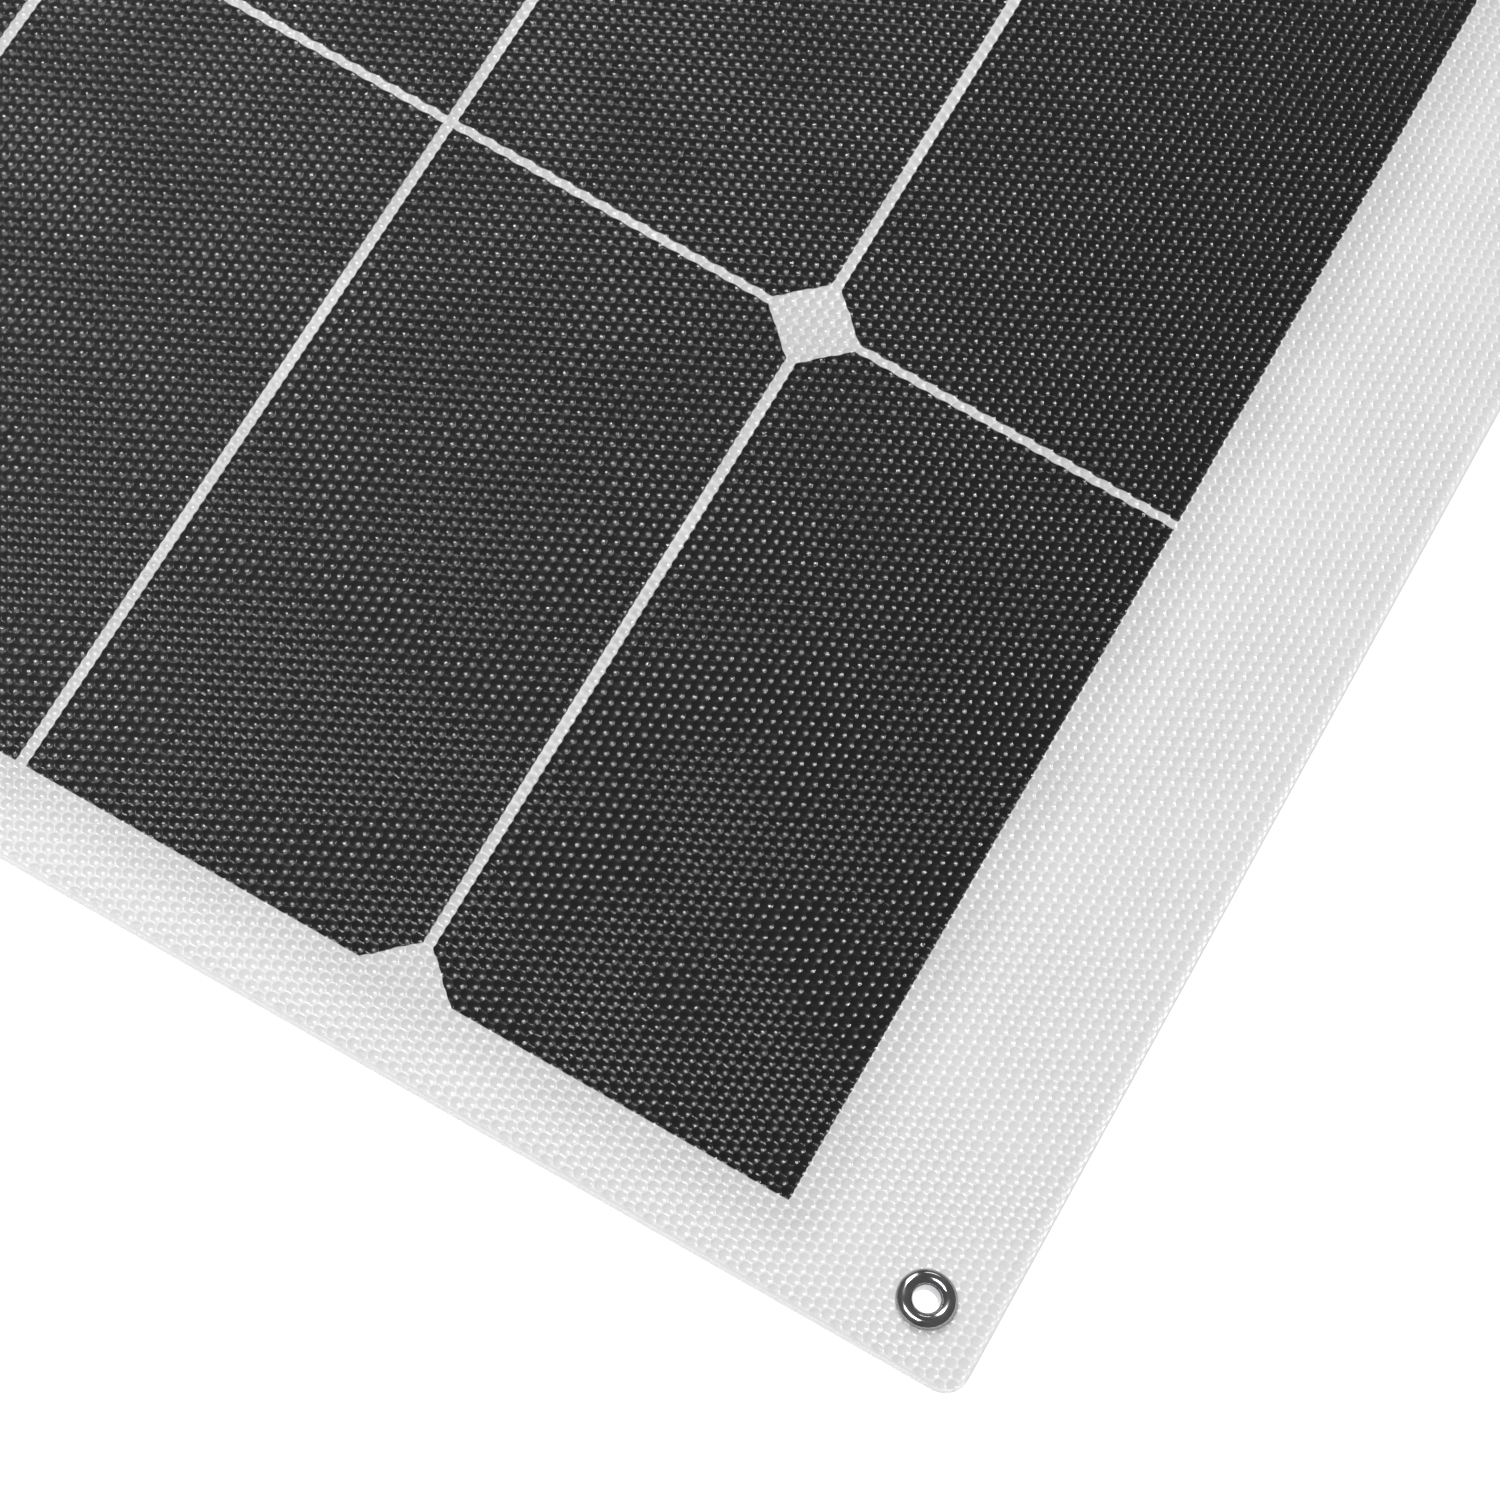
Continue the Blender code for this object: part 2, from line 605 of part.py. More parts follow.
def make_box_lid(parent):
    """A plate with a lip that drops into the base, a finger tab, and a hinge barrel with its pins."""
    lid = plate("junction_box_lid", [box_outline(0)], LID_BOTTOM, LID_BOTTOM + LID_THICKNESS)
    lip_outside = box_outline(BOX_WALL + FIT_GAP)
    lip_inside = box_outline(BOX_WALL + FIT_GAP + LID_LIP_WALL)
    join(lid, plate("lid_lip", [lip_outside, lip_inside], LID_BOTTOM - LID_LIP_DEPTH,
                    LID_BOTTOM + LID_THICKNESS / 2))
    inner_wall_x = BOX_X + BOX_WIDTH / 2
    join(lid, block("lid_tab", (inner_wall_x - BOX_WALL, -LID_TAB_WIDTH / 2, LID_BOTTOM + FIT_GAP),
                    (inner_wall_x + LID_TAB_REACH, LID_TAB_WIDTH / 2, LID_BOTTOM + LID_THICKNESS - FIT_GAP)))
    barrel_half = HINGE_BARREL_LENGTH / 2
    join(lid, block("lid_web", (HINGE_X, -barrel_half, HINGE_Z - LID_THICKNESS / 4),
                    (BOX_X - BOX_WIDTH / 2 + BOX_WALL, barrel_half, HINGE_Z + LID_THICKNESS / 4)))
    join(lid, rod_y("lid_barrel", HINGE_X, HINGE_Z, -barrel_half, barrel_half, HINGE_BARREL_RADIUS))
    pin_half = barrel_half + FIT_GAP + HINGE_LUG_THICKNESS
    join(lid, rod_y("lid_pin", HINGE_X, HINGE_Z, -pin_half, pin_half, HINGE_PIN_RADIUS))
    paint(lid, BOX_BLACK)
    hang(lid, hinge_empty("lid_hinge", (HINGE_X, 0, HINGE_Z), parent))


def make_terminals(parent):
    """A rail for the diode's lead, a leg down to the ribbon, and a crimp in line with the inlet."""
    for end, name in ((-1, "terminal_negative"), (1, "terminal_positive")):
        near, far = end * TERMINAL_NEAR_END, end * (TERMINAL_NEAR_END + TERMINAL_LENGTH)
        y_low, y_high = min(near, far), max(near, far)
        rail_x_low = min(BOX_X - TERMINAL_WIDTH / 2, TERMINAL_LEG_X - TERMINAL_LEG_WIDTH / 2)
        rail_x_high = max(BOX_X + TERMINAL_WIDTH / 2, TERMINAL_LEG_X + TERMINAL_LEG_WIDTH / 2)
        terminal = block(name, (rail_x_low, y_low, TERMINAL_BOTTOM), (rail_x_high, y_high, TERMINAL_TOP))
        leg = terminal_leg_box(end * TERMINAL_LEG_Y, FILM_BOTTOM, (TERMINAL_BOTTOM + TERMINAL_TOP) / 2)
        join(terminal, block(name + "_leg", *leg))
        crimp_ends = sorted((far, end * (TERMINAL_NEAR_END + TERMINAL_LENGTH - TERMINAL_CRIMP_LENGTH)))
        web_half = TERMINAL_CRIMP_RADIUS / 2
        join(terminal, block(name + "_web", (BOX_X - web_half, crimp_ends[0], TERMINAL_TOP - FIT_GAP),
                             (BOX_X + web_half, crimp_ends[1], INLET_Z)))
        join(terminal, rod_y(name + "_crimp", BOX_X, INLET_Z, *crimp_ends, TERMINAL_CRIMP_RADIUS))
        bore = (crimp_ends[0] - FIT_GAP, crimp_ends[1] + FIT_GAP)
        cut(terminal, rod_y(name + "_crimp_bore", BOX_X, INLET_Z, *bore, TERMINAL_CRIMP_BORE))
        paint(terminal, COPPER)
        hang(terminal, parent)


def make_diode(parent):
    """Bypass diode across the terminals; its leads lie over their rails."""
    half_body = DIODE_BODY_LENGTH / 2
    half_lead = DIODE_LENGTH / 2
    diode = rod_y("bypass_diode", BOX_X, DIODE_Z, -half_body, half_body, DIODE_BODY_RADIUS)
    join(diode, rod_y("diode_leads", BOX_X, DIODE_Z, -half_lead, half_lead, DIODE_LEAD_RADIUS))
    paint(diode, DIODE_BLACK)
    hang(diode, parent)


make_cells()
make_ribbons()
make_laminate()
make_eyelets()
box_parent = STRIP["left_end"].empty
make_box_base(box_parent)
make_box_lid(box_parent)
make_terminals(box_parent)
make_diode(box_parent)
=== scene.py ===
import math

import bmesh
import bpy
import numpy as np
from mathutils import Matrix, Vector
from mathutils.geometry import delaunay_2d_cdt


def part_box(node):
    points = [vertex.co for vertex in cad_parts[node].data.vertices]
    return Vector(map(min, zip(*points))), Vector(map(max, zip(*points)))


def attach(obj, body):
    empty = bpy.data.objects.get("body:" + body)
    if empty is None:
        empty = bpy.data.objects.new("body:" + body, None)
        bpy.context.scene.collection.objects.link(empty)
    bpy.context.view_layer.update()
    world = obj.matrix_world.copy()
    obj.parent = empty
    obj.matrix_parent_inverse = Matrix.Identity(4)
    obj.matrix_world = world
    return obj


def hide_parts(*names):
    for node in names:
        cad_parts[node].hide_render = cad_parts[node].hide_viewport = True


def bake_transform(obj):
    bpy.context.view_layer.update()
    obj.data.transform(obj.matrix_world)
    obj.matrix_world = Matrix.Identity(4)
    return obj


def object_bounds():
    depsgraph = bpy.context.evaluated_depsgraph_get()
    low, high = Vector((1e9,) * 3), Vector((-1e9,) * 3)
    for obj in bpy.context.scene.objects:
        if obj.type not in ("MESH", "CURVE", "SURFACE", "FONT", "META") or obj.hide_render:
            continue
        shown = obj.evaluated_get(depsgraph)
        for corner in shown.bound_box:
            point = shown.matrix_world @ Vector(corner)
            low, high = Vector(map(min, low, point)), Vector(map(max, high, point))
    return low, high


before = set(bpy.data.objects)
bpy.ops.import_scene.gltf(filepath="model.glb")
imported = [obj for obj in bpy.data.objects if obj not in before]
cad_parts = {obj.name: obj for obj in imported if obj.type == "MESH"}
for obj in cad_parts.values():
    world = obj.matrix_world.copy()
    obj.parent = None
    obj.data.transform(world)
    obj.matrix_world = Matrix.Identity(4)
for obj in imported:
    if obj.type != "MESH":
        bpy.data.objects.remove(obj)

cad_low, cad_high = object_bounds()

# The camera looks down on the corner with the right lower eyelet.
# It sees about a third of the sheet, from the front and a little to the right.
CAMERA_PLACE = (0.33997, -0.64948, 0.92035)
CAMERA_TURN = (22.716, -8.383, 28.489)
CAMERA_LENS, CAMERA_SENSOR = 130.31, 36.0
camera_data = bpy.data.cameras.new("camera")
camera_data.lens = CAMERA_LENS
camera_data.sensor_width = CAMERA_SENSOR
camera = bpy.data.objects.new("camera", camera_data)
camera.location = CAMERA_PLACE
camera.rotation_euler = [math.radians(turn) for turn in CAMERA_TURN]
bpy.context.collection.objects.link(camera)
bpy.context.scene.camera = camera
bpy.context.scene.view_settings.view_transform = "Standard"


# The studio: a glowing white table, a softbox over the front that lights the white board,
# a wide light behind the left end for sheen, and a small one that makes the embossing sparkle.
# Each light has its place, the point it is aimed at, its width and height, and its power.
TABLE_HALF_SIDE, TABLE_DROP = 12.0, 0.0004
TABLE_GLOW = 0.75
LIGHTS = {
    "front_light": ((0.10, -0.75, 1.55), (0.15, -0.15, 0.0), (0.90, 0.45), 14.5),
    "sparkle_light": ((-0.42, 0.55, 1.60), (0.20, -0.20, 0.0), (0.40, 0.33), 8.5),
    "back_light": ((0.05, 1.35, 1.10), (0.20, -0.20, 0.0), (0.60, 0.25), 1.6),
    "wide_light": ((-1.15, 1.15, 1.55), (0.0, 0.0, 0.0), (1.00, 1.00), 10.0),
}
LIGHT_ALL_ROUND, WALL_BRIGHTNESS = 0.17, 0.95


def new_material(name):
    material = bpy.data.materials.new(name)
    material.use_nodes = True
    nodes = material.node_tree.nodes
    return material, nodes, material.node_tree.links, nodes["Principled BSDF"]


def noise(nodes, links, scale, place=None):
    """A fine noise of the given scale, at the given place on the piece; returns its value."""
    texture = nodes.new("ShaderNodeTexNoise")
    texture.inputs["Scale"].default_value = scale
    if place:
        links.new(place, texture.inputs["Vector"])
    return texture.outputs["Fac"]


def two_tones(nodes, links, mask, low, high, low_at=0.0, high_at=1.0):
    """A colour that goes from low to high with the mask."""
    ramp = nodes.new("ShaderNodeValToRGB")
    for stop, colour, position in zip(ramp.color_ramp.elements, (low, high), (low_at, high_at)):
        stop.position = position
        stop.color = (*colour, 1.0)
    links.new(mask, ramp.inputs["Fac"])
    return ramp.outputs["Color"]


def table_top():
    mesh = bpy.data.meshes.new("table_top")
    corners = [(-1, -1), (1, -1), (1, 1), (-1, 1)]
    places = [(x * TABLE_HALF_SIDE, y * TABLE_HALF_SIDE, -TABLE_DROP) for x, y in corners]
    mesh.from_pydata(places, [], [(0, 1, 2, 3)])
    piece = bpy.data.objects.new("table_top", mesh)
    bpy.context.collection.objects.link(piece)
    return piece


def white_table():
    """Matt white paint, lit from below so that it takes no shadow."""
    material, nodes, links, paint = new_material("white_table")
    mottle = noise(nodes, links, 3.0)
    tone = two_tones(nodes, links, mottle, (0.93, 0.93, 0.93), (0.98, 0.98, 0.98))
    links.new(tone, paint.inputs["Base Color"])
    links.new(tone, paint.inputs["Emission Color"])
    paint.inputs["Emission Strength"].default_value = TABLE_GLOW
    paint.inputs["Roughness"].default_value = 0.9
    paint.inputs["Specular IOR Level"].default_value = 0.0
    return material


def softbox(name, place, aim, size, watts):
    lamp = bpy.data.lights.new(name, "AREA")
    lamp.shape = "RECTANGLE"
    lamp.size, lamp.size_y = size
    lamp.energy = watts
    piece = bpy.data.objects.new(name, lamp)
    piece.location = place
    piece.rotation_euler = (Vector(aim) - Vector(place)).to_track_quat("-Z", "Y").to_euler()
    bpy.context.collection.objects.link(piece)


def white_room():
    """Faint light from all round, and a wall behind the table that looks white by itself."""
    room = bpy.data.worlds.new("studio_white")
    room.use_nodes = True
    nodes, links = room.node_tree.nodes, room.node_tree.links
    all_round, wall = nodes["Background"], nodes.new("ShaderNodeBackground")
    for background, strength in ((all_round, LIGHT_ALL_ROUND), (wall, WALL_BRIGHTNESS)):
        background.inputs["Color"].default_value = (1.0, 1.0, 1.0, 1.0)
        background.inputs["Strength"].default_value = strength
    path = nodes.new("ShaderNodeLightPath")
    mix = nodes.new("ShaderNodeMixShader")
    links.new(path.outputs["Is Camera Ray"], mix.inputs["Fac"])
    links.new(all_round.outputs["Background"], mix.inputs[1])
    links.new(wall.outputs["Background"], mix.inputs[2])
    links.new(mix.outputs["Shader"], nodes["World Output"].inputs["Surface"])
    return room


table = table_top()
table.data.materials.append(white_table())
for name, light in LIGHTS.items():
    softbox(name, *light)
bpy.context.scene.world = white_room()

# The back sheet: white glass-fibre board, cut with round corners and punched for the eyelets.
# It is laid up here as four panels, one over each bending line.
SHEET_HALF = np.array([cad_high[0], cad_high[1]])
CORNER_RADIUS = 0.005
BOARD_TOP = 0.00180
SEAMS = (-SHEET_HALF[0], -0.16115, 0.0, 0.16115, SHEET_HALF[0])
EYELET_NAMES = ("left_lower", "left_upper", "right_lower", "right_upper")
EYELET_CENTRES = {}
for name in EYELET_NAMES:
    low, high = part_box("eyelet_" + name)
    EYELET_CENTRES[name] = ((low[0] + high[0]) / 2, (low[1] + high[1]) / 2)
EYELET_HOLE_RADIUS = 0.00335
DIMPLE_COLUMN, DIMPLE_ROW = 0.002122, 0.002327
BOWL_RADIUS = 0.00137
BOARD_BUMP = 0.00026
# The net that lets the board curve: its step along the bend, and the strip it leaves free at edges.
BEND_STEP, BEND_MARGIN = 0.006, 0.003


def new_piece(name, mesh):
    piece = bpy.data.objects.new(name, mesh)
    bpy.context.collection.objects.link(piece)
    return piece


def run(a, b, step):
    """Evenly spaced points from a towards b, without b."""
    count = max(1, round(math.dist(a, b) / step))
    across, along = b[0] - a[0], b[1] - a[1]
    return [(a[0] + across * i / count, a[1] + along * i / count) for i in range(count)]


def on_arc(centre, radius, turn):
    """The point of an arc at an angle given in radians."""
    return (centre[0] + radius * math.cos(turn), centre[1] + radius * math.sin(turn))


def panel_outline(x_low, x_high, step):
    """The panel's edge, counterclockwise, with the sheet's corners rounded."""
    y = SHEET_HALF[1]
    r_low = CORNER_RADIUS if x_low <= -SHEET_HALF[0] else 0.0
    r_high = CORNER_RADIUS if x_high >= SHEET_HALF[0] else 0.0
    arc_steps = 10
    corners = (
        (x_low, r_low, 180, -1),
        (x_high, r_high, 270, -1),
        (x_high, r_high, 0, 1),
        (x_low, r_low, 90, 1),
    )
    loop = []
    for x, radius, turn, y_side in corners:
        inward = 1 if x == x_low else -1
        centre = (x + inward * radius, y_side * (y - radius))
        corner = [centre]
        if radius:
            turns = [math.radians(turn + 90 * i / arc_steps) for i in range(arc_steps + 1)]
            corner = [on_arc(centre, radius, angle) for angle in turns]
        if loop:
            loop += run(loop.pop(), corner[0], step)
        loop += corner
    loop += run(loop.pop(), loop[0], step)
    return loop


def ring(centre, radius, count):
    """A hole's edge, clockwise."""
    return [on_arc(centre, radius, -math.tau * i / count) for i in range(count)]


def fill(loops, inner):
    """Triangles inside the first loop and outside the others, through the inner points.

    Returns the places, the faces, and where each loop's points are among the places.
    """
    flat = [point for loop in loops for point in loop] + [tuple(point) for point in inner]
    edges, start, rings = [], 0, []
    for loop in loops:
        edges += [(start + i, start + (i + 1) % len(loop)) for i in range(len(loop))]
        rings.append(range(start, start + len(loop)))
        start += len(loop)
    in_mm = [Vector((x * 1000, y * 1000)) for x, y in flat]
    places, _, faces, came_from, _, _ = delaunay_2d_cdt(in_mm, edges, [], 1, 1e-5)
    now_at = {old: new for new, olds in enumerate(came_from) for old in olds}
    holes = [{now_at[i] for i in ring_of} for ring_of in rings[1:]]
    faces = [face for face in faces if not any(hole.issuperset(face) for hole in holes)]
    now_rings = [[now_at[i] for i in ring_of] for ring_of in rings]
    return np.array([place[:] for place in places]) / 1000, faces, now_rings


def lay(name, loops, inner, top, bottom, under=()):
    """A thin layer between the heights top(x, y) and bottom, with upright edges.

    The inner points shape its top, and the under points its underside.
    """
    up, up_faces, up_rings = fill(loops, inner)
    down, down_faces, down_rings = fill(loops, under)
    places = np.zeros((len(up) + len(down), 3))
    places[: len(up), :2], places[len(up) :, :2] = up, down
    places[: len(up), 2] = top(up[:, 0], up[:, 1])
    places[len(up) :, 2] = bottom
    faces = [tuple(face) for face in up_faces]
    faces += [tuple(len(up) + i for i in reversed(face)) for face in down_faces]
    for above, below in zip(up_rings, down_rings):
        for i in range(len(above)):
            j = (i + 1) % len(above)
            faces.append((len(up) + below[i], len(up) + below[j], above[j], above[i]))
    mesh = bpy.data.meshes.new(name)
    mesh.from_pydata(places.tolist(), [], faces)
    mesh.shade_smooth()
    mesh.set_sharp_from_angle(angle=math.radians(40))
    flat_place = mesh.attributes.new("flat_place", "FLOAT_VECTOR", "POINT")
    flat_place.data.foreach_set("vector", places.astype(np.float32).ravel())
    return new_piece(name, mesh)


def grid(x_low, x_high, y_low, y_high, step, margin):
    """Evenly spaced points that let a layer curve."""
    xs = np.linspace(x_low, x_high, max(2, round((x_high - x_low) / step)))
    ys = np.linspace(y_low, y_high, max(2, round((y_high - y_low) / (4 * step))))
    xs = [x for x in xs if x_low + margin < x < x_high - margin]
    ys = [y for y in ys if y_low + margin < y < y_high - margin]
    clear = EYELET_HOLE_RADIUS + margin
    centres = EYELET_CENTRES.values()
    return [(x, y) for x in xs for y in ys if all(math.dist((x, y), c) > clear for c in centres)]


def bend_with(piece):
    """Bakes a piece's placement into its mesh."""
    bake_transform(piece)


def level(height):
    """A flat top for lay()."""
    return lambda x, y: np.full_like(x, height)


def panel_loops(x_low, x_high, step, hole_points):
    """The edge of a panel and of each eyelet's hole in it."""
    centres = [centre for centre in EYELET_CENTRES.values() if x_low < centre[0] < x_high]
    holes = [ring(centre, EYELET_HOLE_RADIUS, hole_points) for centre in centres]
    return [panel_outline(x_low, x_high, step), *holes]


# A shared effect: the net of the embossing roller, which every layer of the laminate takes on.
# Bowls lie in columns along Y, every second column half a pitch up. The sheet's rim stays flat.
# Its Bowl output also places the painted shade on the board, the cells and the tabs.
def shader_group(name, inputs, outputs):
    group = bpy.data.node_groups.new(name, "ShaderNodeTree")
    for label, default in inputs:
        kind = "NodeSocketVector" if isinstance(default, tuple) else "NodeSocketFloat"
        group.interface.new_socket(label, in_out="INPUT", socket_type=kind).default_value = default
    for label, kind in outputs:
        group.interface.new_socket(label, in_out="OUTPUT", socket_type=kind)
    return group, group.nodes.new("NodeGroupInput"), group.nodes.new("NodeGroupOutput")


def maths(tree, operation, *values):
    """A Math node on sockets or plain numbers; returns its output."""
    node = tree.nodes.new("ShaderNodeMath")
    node.operation = operation
    for slot, value in zip(node.inputs, values):
        if isinstance(value, (int, float)):
            slot.default_value = value
        else:
            tree.links.new(value, slot)
    return node.outputs[0]


def stretch(tree, value, old_low, old_high, new_low, new_high):
    """A smooth Map Range node; returns its output."""
    node = tree.nodes.new("ShaderNodeMapRange")
    node.interpolation_type = "SMOOTHSTEP"
    tree.links.new(value, node.inputs["Value"])
    node.inputs["From Min"].default_value = old_low
    node.inputs["From Max"].default_value = old_high
    node.inputs["To Min"].default_value = new_low
    node.inputs["To Max"].default_value = new_high
    return node.outputs["Result"]


def sum_of_squares(tree, a, b):
    return maths(tree, "ADD", maths(tree, "MULTIPLY", a, a), maths(tree, "MULTIPLY", b, b))


def grey(nodes, links, tone):
    """A colour of one tone."""
    colour = nodes.new("ShaderNodeCombineColor")
    for channel in colour.inputs:
        links.new(tone, channel)
    return colour.outputs["Color"]


def embossing_group():
    """The embossed net, with bowls of uneven depth.

    Height goes from 0 in the middle of a bowl to 1 where ridges meet, and Bowl the other way.
    Flat Rim is 1 along the sheet's edge.
    """
    outputs = [(label, "NodeSocketFloat") for label in ("Height", "Bowl", "Flat Rim")]
    inputs = [("Place", (0.0, 0.0, 0.0)), ("Rim", 0.0012), ("Ridge Softness", 0.55)]
    group, given, result = shader_group("embossing", inputs, outputs)
    split = group.nodes.new("ShaderNodeSeparateXYZ")
    group.links.new(given.outputs["Place"], split.inputs[0])
    reach_x, reach_y = DIMPLE_COLUMN, DIMPLE_ROW / 2
    from_x = maths(group, "PINGPONG", split.outputs["X"], reach_x)
    from_y = maths(group, "PINGPONG", split.outputs["Y"], reach_y)
    to_x = maths(group, "SUBTRACT", reach_x, from_x)
    to_y = maths(group, "SUBTRACT", reach_y, from_y)
    squares = []
    for side_x, side_y in ((from_x, from_y), (to_x, to_y)):
        square = sum_of_squares(group, side_x, side_y)
        squares.append(maths(group, "DIVIDE", square, BOWL_RADIUS**2))
    net = maths(group, "SMOOTH_MIN", *squares, given.outputs["Ridge Softness"])
    uneven = group.nodes.new("ShaderNodeTexNoise")
    uneven.inputs["Scale"].default_value = 45.0
    uneven.inputs["Detail"].default_value = 0.0
    group.links.new(given.outputs["Place"], uneven.inputs["Vector"])
    edges = []
    for half, axis in zip(SHEET_HALF, ("X", "Y")):
        distance = maths(group, "ABSOLUTE", split.outputs[axis])
        edges.append(maths(group, "SUBTRACT", float(half), distance))
    edge = maths(group, "DIVIDE", maths(group, "MINIMUM", *edges), given.outputs["Rim"])
    inside = stretch(group, edge, 0.25, 1.0, 0.0, 1.0)
    unevenness = stretch(group, uneven.outputs["Fac"], 0.30, 0.70, 0.85, 1.15)
    depth = maths(group, "MULTIPLY", inside, unevenness)
    bowl = maths(group, "MULTIPLY", maths(group, "SUBTRACT", 1.0, net), depth)
    group.links.new(bowl, result.inputs["Bowl"])
    group.links.new(maths(group, "SUBTRACT", 1.0, inside), result.inputs["Flat Rim"])
    group.links.new(maths(group, "SUBTRACT", 1.0, bowl), result.inputs["Height"])
    return group


EMBOSSING = embossing_group()


def add_group(nodes, group, **values):
    """A shader group's node, with the material's own values on its inputs."""
    node = nodes.new("ShaderNodeGroup")
    node.node_tree = group
    for label, value in values.items():
        node.inputs[label.replace("_", " ")].default_value = value
    return node


def add_embossing(nodes, links):
    """The embossing, and the place of each point on the flat sheet, which it keeps in a curve."""
    place = nodes.new("ShaderNodeAttribute")
    place.attribute_name = "flat_place"
    node = add_group(nodes, EMBOSSING)
    links.new(place.outputs["Vector"], node.inputs["Place"])
    return node, place.outputs["Vector"]


def bump_from(nodes, links, height, depth):
    """A normal that raises a height of 1 by the depth, in metres."""
    bump = nodes.new("ShaderNodeBump")
    bump.inputs["Strength"].default_value = 1.0
    bump.inputs["Distance"].default_value = depth
    links.new(height, bump.inputs["Height"])
    return bump.outputs["Normal"]


# The cells' field, and how far the painted shade beside it reaches on the board.
CELLS_HALF = (0.32120, 0.31650)
CELL_SHADE_REACH = 0.013


def white_board():
    """Bright white, with painted shade: greyer in the bowls and beside the dark cells."""
    material, nodes, links, board = new_material("white_board")
    tree = material.node_tree
    emboss, place = add_embossing(nodes, links)
    split = nodes.new("ShaderNodeSeparateXYZ")
    links.new(place, split.inputs[0])
    past = []
    for half, axis in zip(CELLS_HALF, ("X", "Y")):
        beyond = maths(tree, "SUBTRACT", maths(tree, "ABSOLUTE", split.outputs[axis]), half)
        past.append(maths(tree, "MAXIMUM", beyond, 0.0))
    away = maths(tree, "SQRT", sum_of_squares(tree, *past))
    # Painted shade beside the cells: light goes from 0 at their edge to 1 at CELL_SHADE_REACH.
    light = stretch(tree, away, 0.0, CELL_SHADE_REACH, 0.0, 1.0)
    fibre = noise(nodes, links, 900.0, place)
    tone = maths(tree, "ADD", maths(tree, "MULTIPLY", light, 0.05), 0.87)
    # Painted shade in the bowls, deeper beside the cells.
    bowl = stretch(tree, emboss.outputs["Bowl"], 0.10, 0.48, 0.0, 1.0)
    # The flat rim is made as grey as a bowl.
    bowl = maths(tree, "MAXIMUM", bowl, emboss.outputs["Flat Rim"])
    depth = maths(tree, "SUBTRACT", 0.24, maths(tree, "MULTIPLY", light, 0.08))
    tone = maths(tree, "SUBTRACT", tone, maths(tree, "MULTIPLY", bowl, depth))
    tone = maths(tree, "ADD", tone, maths(tree, "MULTIPLY", fibre, 0.03))
    links.new(grey(nodes, links, tone), board.inputs["Base Color"])
    normal = bump_from(nodes, links, emboss.outputs["Height"], BOARD_BUMP)
    links.new(normal, board.inputs["Normal"])
    board.inputs["Roughness"].default_value = 0.65
    board.inputs["Specular IOR Level"].default_value = 0.1
    return material


WHITE_BOARD = white_board()
BOARD_NODES = {
    "left_outer": ("left_end", "left_inner"),
    "left_centre": ("left_inner", "middle"),
    "right_centre": ("middle", "right_inner"),
    "right_outer": ("right_inner", "right_end"),
}
for i, (panel, halves) in enumerate(BOARD_NODES.items()):
    x_low, x_high = SEAMS[i], SEAMS[i + 1]
    loops = panel_loops(x_low, x_high, BEND_STEP, 48)
    points = grid(x_low, x_high, -SHEET_HALF[1], SHEET_HALF[1], BEND_STEP, BEND_MARGIN)
    board = lay("back_sheet_" + panel, loops, points, level(BOARD_TOP), 0.0, points)
    board.data.materials.append(WHITE_BOARD)
    bend_with(board)
    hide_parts(*["backing_" + half for half in halves])

# The solar cells: half wafers of dark silicon with two cut corners, all contacts on the back.
# They are laid in four rows of eight. The embossing makes their edges ripple a little.
CELL_TOP = 0.00195
CELL_SIZE = (0.078375, 0.156750)
COLUMN_GAP, ROW_GAP = 0.0022, 0.0020
CORNER_CUT = 0.0084
CELL_EDGE_STEP = 0.00058
CELL_MARGIN = 0.0012
CELL_BEND_STEP = 0.004
CUT_MARGIN = 0.0015
RIPPLE = 0.00014
CELL_BUMP = 0.00012


def ripple(points):
    """Shifts points along the slope of the embossing, as its lenses shift what lies under them."""
    across, along = math.pi / DIMPLE_COLUMN, math.tau / DIMPLE_ROW
    moved = []
    for x, y in points:
        both, apart = math.sin(across * x + along * y), math.sin(across * x - along * y)
        shift_x = (both + apart + 2 * math.sin(2 * across * x)) / 3
        shift_y = (both - apart) / 2
        moved.append((x + RIPPLE * shift_x, y + RIPPLE * shift_y))
    return moved


def cell_outline(x, y, cut_side):
    """A cell's edge, counterclockwise. The corners on cut_side are cut off."""
    half_x, half_y = CELL_SIZE[0] / 2, CELL_SIZE[1] / 2
    cut_low = CORNER_CUT if cut_side < 0 else 0.0
    cut_high = CORNER_CUT if cut_side > 0 else 0.0
    corners = [
        (-half_x + cut_low, -half_y),
        (half_x - cut_high, -half_y),
        (half_x, -half_y + cut_high),
        (half_x, half_y - cut_high),
        (half_x - cut_high, half_y),
        (-half_x + cut_low, half_y),
        (-half_x, half_y - cut_low),
        (-half_x, -half_y + cut_low),
    ]
    corners = [(x + cx, y + cy) for cx, cy in corners]
    loop = []
    for i, corner in enumerate(corners):
        following = corners[(i + 1) % len(corners)]
        if math.dist(corner, following) > 1e-6:
            loop += run(corner, following, CELL_EDGE_STEP)
    return ripple(loop)


